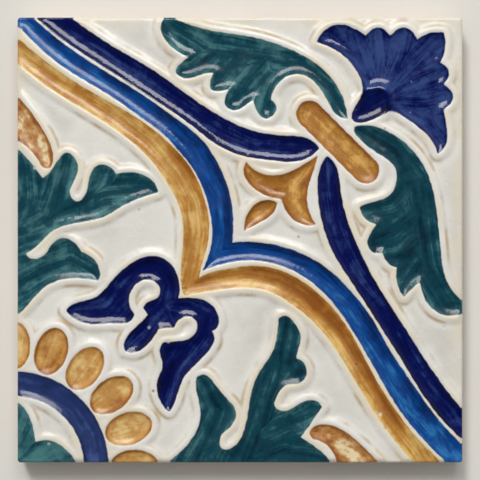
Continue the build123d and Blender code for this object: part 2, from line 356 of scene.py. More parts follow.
class ReliefTileLook(bpy.types.PropertyGroup):
    """Sizes of the soft relief that the glaze leaves on the pressed tile."""

    ground_height: size_setting("Ground height", "Height of the white ground above the bed face", 10.0)
    ridge_height: size_setting("Ridge height", "Height of the ridge crests above the white ground", 0.7)
    hollow_depth: size_setting("Hollow depth", "Depth of the coloured hollows below the white ground", 0.4)
    crest_offset: size_setting("Crest offset", "Distance of the ridge crest from the edge of the colour", 0.9)
    ridge_slope: size_setting("Ridge slope", "Width of the slope from the crest to the white ground", 2.6)
    hollow_slope: size_setting("Hollow slope", "Width of the curved wall inside the colour's edge", 3.0)
    edge_rounding: size_setting("Edge rounding", "Radius of the worn edge round the face", 0.8)
    corner_radius: size_setting("Corner radius", "Radius of the four upright corners", 1.0)
    unevenness: size_setting("Unevenness", "Height of the slow waves that hand pressing leaves", 0.1)
    face_divisions: bpy.props.IntProperty(
        name="Face divisions",
        description="Divisions of the face along one side",
        default=280,
        min=60,
        max=290,
    )


class GlazePalette(bpy.types.PropertyGroup):
    """Colours of the glazes, thick to thin, and of the clay."""

    cobalt_deep: colour_setting("Cobalt deep", "Cobalt where it lies thick", (1, 5, 36))
    cobalt_body: colour_setting("Cobalt body", "Cobalt over most of a motif", (1, 12, 80))
    cobalt_light: colour_setting("Cobalt light", "Cobalt where it lies thin", (48, 70, 126))
    indigo_deep: colour_setting("Indigo deep", "Indigo where it lies thick", (14, 26, 66))
    indigo_body: colour_setting("Indigo body", "Indigo over most of a motif", (34, 52, 104))
    indigo_light: colour_setting("Indigo light", "Indigo where it lies thin", (76, 100, 158))
    azure_deep: colour_setting("Azure deep", "Azure where it lies thick", (2, 37, 90))
    azure_body: colour_setting("Azure body", "Azure over most of a motif", (2, 65, 138))
    azure_light: colour_setting("Azure light", "Azure where it lies thin", (40, 114, 178))
    green_deep: colour_setting("Green deep", "Green where it lies thick", (3, 38, 54))
    green_body: colour_setting("Green body", "Green over most of a motif", (13, 65, 79))
    green_light: colour_setting("Green light", "Green where it lies thin", (70, 122, 126))
    ochre_deep: colour_setting("Ochre deep", "Ochre where it lies thick", (144, 84, 26))
    ochre_body: colour_setting("Ochre body", "Ochre over most of a motif", (178, 120, 48))
    ochre_light: colour_setting("Ochre light", "Ochre where it lies thin", (224, 186, 110))
    amber_deep: colour_setting("Amber deep", "Amber where it lies thick", (150, 88, 26))
    amber_body: colour_setting("Amber body", "Amber over most of a motif", (194, 142, 72))
    amber_light: colour_setting("Amber light", "Amber where it lies thin", (230, 196, 132))
    honey_deep: colour_setting("Honey deep", "Honey glaze where it lies thick", (136, 78, 24))
    honey_body: colour_setting("Honey body", "Honey glaze over most of a motif", (168, 112, 44))
    honey_light: colour_setting("Honey light", "Honey glaze where it lies thin", (218, 170, 88))
    russet_deep: colour_setting("Russet deep", "Russet where it lies thick", (146, 86, 40))
    russet_body: colour_setting("Russet body", "Russet over most of a motif", (186, 130, 66))
    russet_light: colour_setting("Russet light", "Russet where it lies thin", (232, 212, 170))
    tin_white: colour_setting("Tin white", "White ground", (224, 222, 215))
    # Painted highlight: the white ground is painted brighter beside each ridge
    tin_highlight: colour_setting("Tin highlight", "Painted highlight on the white ground beside a ridge", (231, 229, 223))
    tin_grey: colour_setting("Tin grey", "Clouds in the white ground", (202, 198, 189))
    ridge_cream: colour_setting("Ridge cream", "Thin glaze over a ridge", (226, 217, 197))
    # Painted shade in the crease at a ridge's foot, together with glaze that gathered there
    ridge_foot_shade: colour_setting("Ridge foot shade", "Warm line where a ridge meets the ground", (194, 174, 144))
    edge_cream: colour_setting("Edge cream", "Thin glaze along the tile's edges", (222, 213, 193))
    ochre_stain: colour_setting("Ochre stain", "White glaze beside ochre", (230, 214, 172))
    speck_brown: colour_setting("Speck brown", "Iron specks", (92, 66, 44))
    clay_buff: colour_setting("Clay buff", "Bare fired clay", (203, 168, 132))
    clay_dark: colour_setting("Clay dark", "Grog and scratches in the clay", (164, 122, 90))
    clay_pale: colour_setting("Clay pale", "Dry face of the clay", (222, 196, 166))


class TileStageLook(bpy.types.PropertyGroup):
    """Camera, light and floor of the stage."""

    lens: bpy.props.FloatProperty(
        name="Lens",
        description="Focal length of the camera in millimetres",
        default=120.0,
    )
    fill: bpy.props.FloatProperty(
        name="Fill",
        description="Share of the picture's width that the tile takes",
        default=0.93,
        subtype="FACTOR",
    )
    window_power: bpy.props.FloatProperty(
        name="Window power",
        description="Power of the window light, which also makes the glints on the glaze",
        default=2.9,
        unit="POWER",
    )
    raking_strength: bpy.props.FloatProperty(
        name="Raking strength",
        description="Strength of the slanting, soft light that brings out the relief",
        default=1.42,
    )
    overhead_strength: bpy.props.FloatProperty(
        name="Overhead strength",
        description="Strength of the even light from straight above",
        default=0.62,
    )
    horizon_strength: bpy.props.FloatProperty(
        name="Horizon strength",
        description="Strength of the even light from all round, low down",
        default=0.48,
    )
    zenith_strength: bpy.props.FloatProperty(
        name="Zenith strength",
        description="Strength of the dim sky overhead, which the glaze mirrors",
        default=0.05,
    )
    floor_pale: colour_setting("Floor pale", "Floor under the tile", (226, 224, 219))
    floor_shade: colour_setting("Floor shade", "Faint clouds in the floor", (214, 212, 207))


def smooth_step(low, high, values):
    """0 below low, 1 above high and a smooth rise between."""
    share = np.clip((values - low) / (high - low), 0.0, 1.0)
    return share * share * (3.0 - 2.0 * share)


def on_tile(point):
    """Place of a drawing point on the face, in millimetres from the tile's centre."""
    return np.array([(point[0] - DRAWING_SQUARES / 2) * SQUARE, (point[1] - DRAWING_SQUARES / 2) * SQUARE])


def solid_triangles():
    """Corner points of the solid tile's triangles, in millimetres."""
    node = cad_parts["tile"]
    mesh = node.data
    mesh.calc_loop_triangles()
    corners = np.empty(len(mesh.loop_triangles) * 3, dtype=np.int64)
    mesh.loop_triangles.foreach_get("vertices", corners)
    points = np.empty(len(mesh.vertices) * 3)
    mesh.vertices.foreach_get("co", points)
    return points.reshape(-1, 3) / MM, corners.reshape(-1, 3)


def hollow_outlines(ground):
    """The edge pieces round each hollow's floor, one array of (x, y, x, y) rows for each hollow."""
    points, triangles = solid_triangles()
    # Corners that fall together within a micrometre are one
    keys, merged = np.unique(np.round(points, 3), axis=0, return_inverse=True)
    triangles = merged.reshape(-1)[triangles]
    heights = keys[:, 2][triangles]
    level = np.ptp(heights, axis=1) < LEVEL_WITHIN
    middle = heights.mean(axis=1)
    sunk = (middle < ground - SUNK_BY) & (middle > ground / 2)
    floors = triangles[level & sunk]
    if len(floors) == 0:
        raise RuntimeError("The solid tile has no hollows below its white ground.")
    parent = list(range(len(keys)))

    def root(index):
        while parent[index] != index:
            parent[index] = parent[parent[index]]
            index = parent[index]
        return index

    for first, second, third in floors.tolist():
        parent[root(second)] = root(first)
        parent[root(third)] = root(first)
    sides = np.sort(np.concatenate([floors[:, [0, 1]], floors[:, [1, 2]], floors[:, [2, 0]]]), axis=1)
    sides, counts = np.unique(sides, axis=0, return_counts=True)
    rims = {}
    for first, second in sides[counts == 1].tolist():
        rims.setdefault(root(first), []).append((*keys[first, :2], *keys[second, :2]))
    return [np.array(rim) for rim in rims.values()]


def inside(rim, points):
    """Which points lie inside a rim, by counting the pieces that a ray to the right crosses."""
    crossings = np.zeros(len(points), dtype=np.int64)
    x, y = points[:, 0], points[:, 1]
    for x1, y1, x2, y2 in rim:
        if y1 == y2:
            continue
        spans = (y1 > y) != (y2 > y)
        reach = x1 + (y[spans] - y1) * (x2 - x1) / (y2 - y1)
        crossings[spans] += x[spans] < reach
    return crossings % 2 == 1


def distance_to(rim, points):
    """Shortest distance from each point to the pieces of a rim."""
    nearest = np.full(len(points), np.inf)
    x, y = points[:, 0], points[:, 1]
    for x1, y1, x2, y2 in rim:
        run_x, run_y = x2 - x1, y2 - y1
        length = run_x * run_x + run_y * run_y
        if length == 0:
            continue
        share = np.clip(((x - x1) * run_x + (y - y1) * run_y) / length, 0.0, 1.0)
        gap = (x - x1 - share * run_x) ** 2 + (y - y1 - share * run_y) ** 2
        np.minimum(nearest, gap, out=nearest)
    return np.sqrt(nearest)


def along_and_across(strokes, points):
    """Distance along the nearest brush stroke and signed distance across it, in millimetres."""
    places = [[on_tile(point) for point in stroke] for stroke in strokes]
    if len(places[0]) == 1:
        away = points - places[0][0]
        radius = np.hypot(away[:, 0], away[:, 1])
        turn = np.arctan2(away[:, 1], away[:, 0])
        return radius, (turn - turn.mean()) * radius.mean() * FAN_STRETCH
    along = np.zeros(len(points))
    across = np.zeros(len(points))
    nearest = np.full(len(points), np.inf)
    travelled = 0.0
    for start, end in [run for stroke in places for run in zip(stroke, stroke[1:])]:
        run = end - start
        length = np.hypot(*run)
        step = run / length
        away = points - start
        forward = np.clip(away @ step, 0.0, length)
        sideways = away[:, 1] * step[0] - away[:, 0] * step[1]
        off = away - forward[:, None] * step
        gap = np.hypot(off[:, 0], off[:, 1])
        closer = gap < nearest
        nearest[closer] = gap[closer]
        along[closer] = travelled + forward[closer]
        across[closer] = np.sign(sideways[closer]) * gap[closer]
        travelled += length
    return along, across


def run_together(first, second, width):
    """Depth inside two neighbouring glazes that ran into each other across a ridge."""
    share = np.clip(0.5 + 0.5 * (first - second) / width, 0.0, 1.0)
    return first * share + second * (1.0 - share) + width * share * (1.0 - share)


def open_rim(rim):
    """The edge pieces of a rim that lie on the face, without those along the tile's own edge."""
    border = TILE_SIDE / 2 - EDGE_STRIP
    starts = np.abs(rim[:, :2]).max(axis=1)
    ends = np.abs(rim[:, 2:]).max(axis=1)
    return rim[np.minimum(starts, ends) < border]


def glaze_fields(points, ground):
    """Depth inside each glaze and the brush coordinates at points on the face."""
    limit = TILE_SIDE / 2 - EDGE_HOLD
    held = np.clip(points, -limit, limit)
    fields = {name: np.full(len(points), -REACH) for name in (*GLAZES, *RUN_TOGETHER)}
    fields.update({name: np.zeros(len(points)) for name in ("along", "across", "tone")})
    deepest = np.full(len(points), -REACH)
    rims = hollow_outlines(ground)
    for name, (glaze, tone, seed, strokes) in BRUSHWORK.items():
        owners = [rim for rim in rims if inside(rim, on_tile(seed)[None, :])[0]]
        if len(owners) != 1:
            raise RuntimeError(f"The brush point of {name} lies in {len(owners)} hollows, not in one.")
        rim = owners[0]
        low = np.minimum(rim[:, :2].min(axis=0), rim[:, 2:].min(axis=0)) - REACH
        high = np.maximum(rim[:, :2].max(axis=0), rim[:, 2:].max(axis=0)) + REACH
        near = np.where(np.all((held >= low) & (held <= high), axis=1))[0]
        spots = held[near]
        depth = distance_to(open_rim(rim), spots)
        depth[~inside(rim, spots)] *= -1
        fields[glaze][near] = np.maximum(fields[glaze][near], depth)
        if name in RUN_TOGETHER:
            fields[name][near] = depth
        own = depth > deepest[near]
        owned = near[own]
        deepest[owned] = depth[own]
        fields["along"][owned], fields["across"][owned] = along_and_across(strokes, spots[own])
        fields["tone"][owned] = tone
        if name in THIN_ENDS:
            share = fields["along"][owned] / fields["along"][owned].max()
            fields["tone"][owned] += THIN_ENDS[name] * (2.0 * share - 1.0) ** 2
    fields["ridge"] = -deepest
    joined = run_together(*(fields.pop(name) for name in RUN_TOGETHER), RUN_WIDTH)
    glaze = BRUSHWORK[RUN_TOGETHER[0]][0]
    fields[glaze] = np.maximum(fields[glaze], joined)
    return fields


def slow_noise(points, size, seed):
    """Smooth noise from -1 to 1 that changes over about the given size in millimetres."""
    return np.array([noise.noise(Vector((x / size, y / size, seed))) for x, y in points.tolist()])


def softened(heights):
    """A grid of heights with its sharpest kinks taken off."""
    soft = heights.copy()
    soft[1:-1] = (heights[:-2] + 2.0 * heights[1:-1] + heights[2:]) / 4.0
    softer = soft.copy()
    softer[:, 1:-1] = (soft[:, :-2] + 2.0 * soft[:, 1:-1] + soft[:, 2:]) / 4.0
    return softer


def relief_heights(points, edge, fields, look):
    """Heights of the glazed face above the bed face, in millimetres."""
    away = fields["ridge"]
    crest = look.ridge_height / MM * (1.0 + CREST_SPREAD * slow_noise(points, *CREST_WAVES))
    crest_at = look.crest_offset / MM
    foot_at = crest_at + look.ridge_slope / MM
    floor = -look.hollow_depth / MM
    wall = look.hollow_slope / MM
    # At this height the hollow's wall runs on over the colour's edge without a kink
    lip = (crest * wall + floor * crest_at) / (wall + crest_at)
    sunk = floor + (lip - floor) * np.clip(1.0 + away / wall, 0.0, 1.0) ** 2
    raised = crest - (crest - lip) * np.clip(1.0 - away / crest_at, 0.0, 1.0) ** 2
    relief = np.where(away > 0, raised * (1.0 - smooth_step(crest_at, foot_at, away)), sunk)
    relief += look.unevenness / MM * slow_noise(points, *PRESS_WAVES)
    relief += FINGER_SHARE * look.unevenness / MM * slow_noise(points, *FINGER_WAVES)
    count = math.isqrt(len(points))
    relief = softened(relief.reshape(count, count)).ravel()
    ridge_left = smooth_step(0.0, RIDGE_FADE, edge)
    hollow_left = HOLLOW_KEPT + (1.0 - HOLLOW_KEPT) * smooth_step(0.0, HOLLOW_FADE, edge)
    relief *= np.where(relief > 0, ridge_left, hollow_left)
    rounding = look.edge_rounding / MM
    inset = np.clip(rounding - edge, 0.0, rounding)
    return look.ground_height / MM + relief - (rounding - np.sqrt(rounding**2 - inset**2))


def face_lines(divisions):
    """Places of the face's grid lines along one side, closer together over the worn edge."""
    margins = np.array(EDGE_LINES)
    half = TILE_SIDE / 2
    inner = np.linspace(-half + EVEN_FROM, half - EVEN_FROM, divisions + 1 - 2 * len(margins))
    return np.concatenate([-half + margins, inner, half - margins[::-1]])


def rounded_corners(points, radius):
    """Points of a square grid drawn in at the corners, and their distance from the tile's side."""
    half = TILE_SIDE / 2
    core = half - radius
    off = np.abs(points) - core
    corner = np.all(off > 0, axis=1)
    edge = half - np.abs(points).max(axis=1)
    ring = off[corner].max(axis=1)
    drawn = off[corner] * (ring / np.hypot(off[corner, 0], off[corner, 1]))[:, None]
    moved = points.copy()
    moved[corner] = np.sign(points[corner]) * (core + drawn)
    edge[corner] = radius - ring
    return moved, edge


def tile_mesh(look):
    """Closed mesh of the tile, with its glaze fields as attributes and its own texture map."""
    lines = face_lines(look.face_divisions)
    count = len(lines)
    grid_x, grid_y = np.meshgrid(lines, lines)
    square = np.stack([grid_x.ravel(), grid_y.ravel()], axis=1)
    points, edge = rounded_corners(square, look.corner_radius / MM)
    fields = glaze_fields(points, look.ground_height / MM)
    fields["edge"] = edge
    heights = relief_heights(points, edge, fields, look)
    top = np.column_stack([points, heights])

    index = np.arange(count * count).reshape(count, count)
    loop = np.concatenate([index[0, :-1], index[:-1, -1], index[-1, :0:-1], index[:0:-1, 0]])
    quads = np.stack([index[:-1, :-1], index[:-1, 1:], index[1:, 1:], index[1:, :-1]], axis=-1).reshape(-1, 4)

    rim = top[loop]
    outward = rim[:, :2] / np.abs(rim[:, :2]).max(axis=1)[:, None]
    dents = 0.5 + 0.5 * slow_noise(rim[:, :2], *DENT_WAVES)
    rows = [top]
    for level in SIDE_ROWS:
        tuck = DENT_DEPTH * dents * (1.0 - abs(2.0 * level - 1.0)) + FOOT_TUCKS.get(level, 0.0)
        rows.append(np.column_stack([rim[:, :2] - outward * tuck[:, None], rim[:, 2] * level]))
    vertices = np.concatenate(rows)
    ring = len(loop)
    upper = loop
    walls = []
    for number in range(len(SIDE_ROWS)):
        lower = count * count + number * ring + np.arange(ring)
        walls.append(np.stack([upper, lower, np.roll(lower, -1), np.roll(upper, -1)], axis=-1))
        upper = lower
    walls = np.concatenate(walls)
    bed = upper[::-1].tolist()

    mesh = bpy.data.meshes.new("relief_tile")
    mesh.from_pydata((vertices * MM).tolist(), [], quads.tolist() + walls.tolist() + [bed])
    for name in FIELDS:
        values = np.concatenate([fields[name], np.tile(fields[name][loop], len(SIDE_ROWS))])
        attribute = mesh.attributes.new(f"tile_{name}", "FLOAT", "POINT")
        attribute.data.foreach_set("value", values.astype(np.float32))
    faces = len(quads) + len(walls) + 1
    smooth = np.ones(faces, dtype=bool)
    smooth[-1] = False
    mesh.polygons.foreach_set("use_smooth", smooth)
    materials = np.zeros(faces, dtype=np.int32)
    materials[len(quads):] = 1
    mesh.polygons.foreach_set("material_index", materials)
    texture_map(mesh, vertices, square, quads, ring)
    mesh.validate()
    mesh.update()
    return mesh


def texture_map(mesh, vertices, square, quads, ring):
    """Flat map: the face fills most of it, with the four sides and the bed in the margins."""
    half = TILE_SIDE / 2
    face = (square + half) / TILE_SIDE * FACE_SHARE + MAP_GAP
    spots = [face[quads].reshape(-1, 2)]
    row_count = len(SIDE_ROWS)
    side_length = ring // 4
    column = np.tile(np.arange(ring), row_count)
    row = np.repeat(np.arange(row_count), ring)
    side = column // side_length
    start = (column % side_length) / side_length
    end = start + 1.0 / side_length
    lift = SIDE_SHARE / row_count
    base = FACE_SHARE + 2 * MAP_GAP + (side % 2) * (SIDE_SHARE + MAP_GAP)
    upper = base + row * lift
    lower = base + (row + 1) * lift
    across = np.stack([upper, lower, lower, upper], axis=-1)
    along = np.stack([start, start, end, end], axis=-1) * FACE_SHARE + MAP_GAP
    upright = (side < 2)[:, None]
    wall_spots = np.stack([np.where(upright, across, along), np.where(upright, along, across)], axis=-1)
    spots.append(wall_spots.reshape(-1, 2))
    bed = vertices[-ring:][::-1, :2]
    spots.append((bed + half) / TILE_SIDE * BED_SHARE + FACE_SHARE + 2 * MAP_GAP)
    layer = mesh.uv_layers.new(name="OFBake")
    layer.data.foreach_set("uv", np.concatenate(spots).astype(np.float32).ravel())


def set_inputs(tree, node, values):
    """Links or sets the inputs of a node by their names or numbers."""
    for label, value in values.items():
        if isinstance(value, bpy.types.NodeSocket):
            tree.links.new(value, node.inputs[label])
        else:
            node.inputs[label].default_value = value


def add_node(tree, kind, values=None, **settings):
    """A node with its settings, its unlinked values and its links."""
    made = tree.nodes.new(kind)
    for name, value in settings.items():
        setattr(made, name, value)
    set_inputs(tree, made, values or {})
    return made


def calculate(tree, operation, first, second=0.0, third=0.0):
    """Result of a maths node."""
    return add_node(tree, "ShaderNodeMath", {0: first, 1: second, 2: third}, operation=operation).outputs[0]


def product(tree, first, second):
    """Two values multiplied."""
    return calculate(tree, "MULTIPLY", first, second)


def add_share(tree, value, share, total):
    """A total with a share of a value added to it."""
    return calculate(tree, "MULTIPLY_ADD", value, share, total)


def scaled(tree, vector, scale):
    """A vector made longer or shorter."""
    return add_node(tree, "ShaderNodeVectorMath", {0: vector, "Scale": scale}, operation="SCALE").outputs[0]


def rise(tree, value, low, high, start=0.0, end=1.0):
    """A smooth change from start to end as the value goes from low to high."""
    values = {"Value": value, "From Min": low, "From Max": high, "To Min": start, "To Max": end}
    return add_node(tree, "ShaderNodeMapRange", values, interpolation_type="SMOOTHSTEP").outputs["Result"]


def blend(tree, factor, first, second):
    """Mix of two colours."""
    return add_node(tree, "ShaderNodeMix", {0: factor, 6: first, 7: second}, data_type="RGBA").outputs[2]


def noise_value(tree, vector, name):
    """One of the named noises, about 0.5, at a vector in millimetres."""
    scale, detail, roughness = NOISES[name]
    values = {"Vector": vector, "Scale": scale, "Detail": detail, "Roughness": roughness}
    return add_node(tree, "ShaderNodeTexNoise", values).outputs["Fac"]


def millimetres(tree):
    """Place on the tile in millimetres."""
    return scaled(tree, add_node(tree, "ShaderNodeTexCoord").outputs["Object"], 1.0 / MM)


def new_group(name, inputs, outputs):
    """An empty shader group, as (tree, the sockets it reads, the sockets it fills)."""
    tree = bpy.data.node_groups.new(name, "ShaderNodeTree")
    kinds = {"value": "NodeSocketFloat", "colour": "NodeSocketColor"}
    for label, kind in inputs:
        tree.interface.new_socket(label, in_out="INPUT", socket_type=kinds[kind])
    for label, kind in outputs:
        tree.interface.new_socket(label, in_out="OUTPUT", socket_type=kinds[kind])
    return tree, tree.nodes.new("NodeGroupInput").outputs, tree.nodes.new("NodeGroupOutput").inputs


def brush_marks(tree, given, marks, shift):
    """Noise that is stretched along the brush line."""
    across_scale, along_scale, detail = marks
    across = product(tree, given["Across"], across_scale)
    along = product(tree, given["Along"], along_scale)
    vector = add_node(tree, "ShaderNodeCombineXYZ", {"X": across, "Y": along, "Z": shift}).outputs[0]
    values = {"Vector": vector, "Scale": 1.0, "Detail": detail}
    return add_node(tree, "ShaderNodeTexNoise", values).outputs["Fac"]


def glaze_wash_group():
    """One coloured glaze: its thickness follows the brush, the rim and the firing, and sets its colour; a
    darker rim and upper side are painted shade, together with glaze that gathered there.
    """
    tree, given, out = new_group(
        "Glaze Wash",
        [("Depth", "value"), ("Along", "value"), ("Across", "value"), ("Tone", "value"), ("Deep", "colour"),
         ("Body", "colour"), ("Light", "colour"), ("Rim", "value"), ("Heart", "value"), ("Streak", "value"),
         ("Cloud", "value"), ("Pool And Shade", "value"), ("Middle", "value")],
        [("Colour", "colour"), ("Mask", "value")],
    )
    place = millimetres(tree)
    wander = calculate(tree, "SUBTRACT", noise_value(tree, place, "painted edge"), 0.5)
    depth = add_share(tree, wander, EDGE_WANDER, given["Depth"])
    mask = rise(tree, depth, *EDGE_FADE)

    shift = product(tree, given["Tone"], TONE_SHIFT)
    swathe = rise(tree, brush_marks(tree, given, BRUSH_SWATHES, shift), 0.3, 0.7, -0.5, 0.5)
    hair = rise(tree, brush_marks(tree, given, BRUSH_HAIRS, shift), 0.3, 0.7, -0.3, 0.3)
    streak = calculate(tree, "ADD", swathe, hair)
    broad = rise(tree, noise_value(tree, place, "broad clouds"), 0.3, 0.7, -0.35, 0.35)
    blotch = rise(tree, noise_value(tree, place, "blotches"), 0.32, 0.68, -0.3, 0.3)
    cloud = calculate(tree, "ADD", broad, blotch)
    # Where Rim is below zero the hollow's edge is darker: painted shade, together with glaze gathered there;
    # where it is above zero the glaze is thin and paler
    rim = product(tree, rise(tree, depth, 1.2, 0.0), rise(tree, cloud, -0.4, 0.3, 0.5, 1.0))
    heart = rise(tree, depth, 1.0, 6.0)
    gather = rise(tree, noise_value(tree, place, "gathering"), 0.35, 0.6)
    # Painted shade, together with glaze that gathered there: darker on the side of the stroke where Across is
    # positive, the upper side of a band
    pooled_shade = product(tree, rise(tree, given["Across"], -0.6, 2.4), gather)
    middle = rise(tree, calculate(tree, "ABSOLUTE", given["Across"]), 2.2, 0.0)

    thin = add_share(tree, streak, given["Streak"], given["Tone"])
    thin = add_share(tree, cloud, given["Cloud"], thin)
    thin = add_share(tree, rim, given["Rim"], thin)
    thin = add_share(tree, heart, given["Heart"], thin)
    thin = calculate(tree, "SUBTRACT", thin, product(tree, pooled_shade, given["Pool And Shade"]))
    thin = calculate(tree, "SUBTRACT", thin, product(tree, middle, given["Middle"]))
    colour = blend(tree, rise(tree, thin, 0.0, 0.5), given["Deep"], given["Body"])
    colour = blend(tree, rise(tree, thin, 0.45, 1.0), colour, given["Light"])
    tree.links.new(colour, out["Colour"])
    tree.links.new(mask, out["Mask"])
    return tree


def tin_ground_group(palette):
    """White tin glaze: clouded on the ground, with a painted highlight beside the ridges and painted shade at
    their foot, and cream over them.
    """
    tree, given, out = new_group(
        "Tin Glaze Ground",
        [("Ridge", "value"), ("Edge", "value"), ("Ochre", "value")],
        [("Colour", "colour")],
    )
    place = millimetres(tree)
    cloud = rise(tree, noise_value(tree, place, "ground clouds"), 0.42, 0.7, 0.0, 0.7)
    colour = blend(tree, cloud, palette.tin_white, palette.tin_grey)
    # Painted highlight: within a few millimetres of a ridge the white is painted brighter, in patches
    patches = rise(tree, noise_value(tree, place, "bright patches"), 0.3, 0.6)
    bright = product(tree, rise(tree, given["Ridge"], 6.0, 3.0, 0.0, 0.8), patches)
    colour = blend(tree, bright, colour, palette.tin_highlight)
    # Painted shade: a warm line in the crease at the foot of each ridge, together with glaze that gathered
    # there; noise breaks it up along its length
    foot = product(tree, rise(tree, given["Ridge"], 3.4, 2.5), rise(tree, given["Ridge"], 1.7, 2.3))
    worn = rise(tree, noise_value(tree, place, "broken foot shade"), 0.42, 0.68, 0.1, 1.0)
    colour = blend(tree, product(tree, foot, worn), colour, palette.ridge_foot_shade)
    ridge = rise(tree, given["Ridge"], 2.8, 1.0)
    thin = rise(tree, noise_value(tree, place, "thin ridge"), 0.42, 0.66)
    colour = blend(tree, product(tree, ridge, thin), colour, palette.ridge_cream)
    edge = rise(tree, given["Edge"], 6.0, 0.4, 0.0, 0.8)
    thin = rise(tree, noise_value(tree, place, "thin edge"), 0.32, 0.62, 0.2, 1.0)
    colour = blend(tree, product(tree, edge, thin), colour, palette.edge_cream)
    stain = rise(tree, given["Ochre"], -2.6, 0.0, 0.0, 0.5)
    colour = blend(tree, stain, colour, palette.ochre_stain)
    tree.links.new(colour, out["Colour"])
    return tree


def kiln_marks_group():
    """Brown specks and small pits that the firing leaves."""
    tree, given, out = new_group(
        "Kiln Marks",
        [("Scale", "value"), ("Amount", "value")],
        [("Specks", "value"), ("Pits", "value")],
    )
    place = scaled(tree, millimetres(tree), given["Scale"])
    cells = add_node(tree, "ShaderNodeTexVoronoi", {"Vector": place, "Scale": 1.0}, feature="F1")
    chosen = add_node(tree, "ShaderNodeSeparateColor", {"Color": cells.outputs["Color"]})
    speck = rise(tree, cells.outputs["Distance"], 0.16, 0.05)
    speckled = calculate(tree, "LESS_THAN", chosen.outputs["Red"], given["Amount"])
    pit = rise(tree, cells.outputs["Distance"], 0.2, 0.08)
    pitted = calculate(tree, "GREATER_THAN", chosen.outputs["Green"], PIT_LEVEL)
    tree.links.new(product(tree, speck, speckled), out["Specks"])
    tree.links.new(product(tree, pit, pitted), out["Pits"])
    return tree


def glaze_surface_group():
    """Ripple and gloss of a hand-laid glaze: height in millimetres, and how far its gloss is dulled."""
    tree, _, out = new_group("Glaze Surface", [], [("Height", "value"), ("Dulling", "value")])
    place = millimetres(tree)
    ripple = product(tree, noise_value(tree, place, "ripple"), RIPPLE_HEIGHT)
    height = add_share(tree, noise_value(tree, place, "peel"), PEEL_HEIGHT, ripple)
    dulling = rise(tree, noise_value(tree, place, "dulling"), 0.35, 0.7, 0.75, 1.4)
    tree.links.new(height, out["Height"])
    tree.links.new(dulling, out["Dulling"])
    return tree


def fired_clay_group(palette):
    """Bare buff clay with grog, and the glaze that ran over its upper edge."""
    tree, _, out = new_group(
        "Fired Clay",
        [],
        [("Colour", "colour"), ("Height", "value"), ("Roughness", "value")],
    )
    place = millimetres(tree)
    drag = add_node(tree, "ShaderNodeVectorMath", {0: place, 1: SCRAPE_STRETCH}, operation="MULTIPLY")
    cloud = noise_value(tree, place, "clay clouds")
    grain = noise_value(tree, place, "clay grain")
    scrape = noise_value(tree, drag.outputs[0], "clay scrapes")
    colour = blend(tree, rise(tree, cloud, 0.35, 0.7), palette.clay_buff, palette.clay_pale)
    colour = blend(tree, rise(tree, grain, 0.55, 0.72, 0.0, 0.7), colour, palette.clay_dark)
    colour = blend(tree, rise(tree, scrape, 0.56, 0.75, 0.0, 0.35), colour, palette.clay_pale)
    up = add_node(tree, "ShaderNodeSeparateXYZ", {0: place}).outputs["Z"]
    run = add_share(tree, noise_value(tree, place, "overrun"), -OVERRUN_WANDER, up)
    glazed = rise(tree, run, *OVERRUN_FADE)
    bare = calculate(tree, "SUBTRACT", 1.0, glazed)
    colour = blend(tree, glazed, colour, palette.edge_cream)
    rough = add_share(tree, grain, GRAIN_HEIGHT, product(tree, scrape, SCRAPE_HEIGHT))
    height = add_share(tree, glazed, OVERRUN_HEIGHT, product(tree, rough, bare))
    roughness = rise(tree, glazed, 0.0, 1.0, CLAY_ROUGHNESS, OVERRUN_ROUGHNESS)
    tree.links.new(colour, out["Colour"])
    tree.links.new(height, out["Height"])
    tree.links.new(roughness, out["Roughness"])
    return tree


def new_material(name):
    """A material with only its shader and output, as (material, tree, shader)."""
    material = bpy.data.materials.new(name)
    material.use_nodes = True
    tree = material.node_tree
    shader = next(node for node in tree.nodes if node.type == "BSDF_PRINCIPLED")
    return material, tree, shader


def bump(tree, shader, height):
    """Links a height in millimetres to the shader as a bump."""
    made = add_node(tree, "ShaderNodeBump", {"Height": height, "Strength": 1.0, "Distance": MM})
    tree.links.new(made.outputs["Normal"], shader.inputs["Normal"])


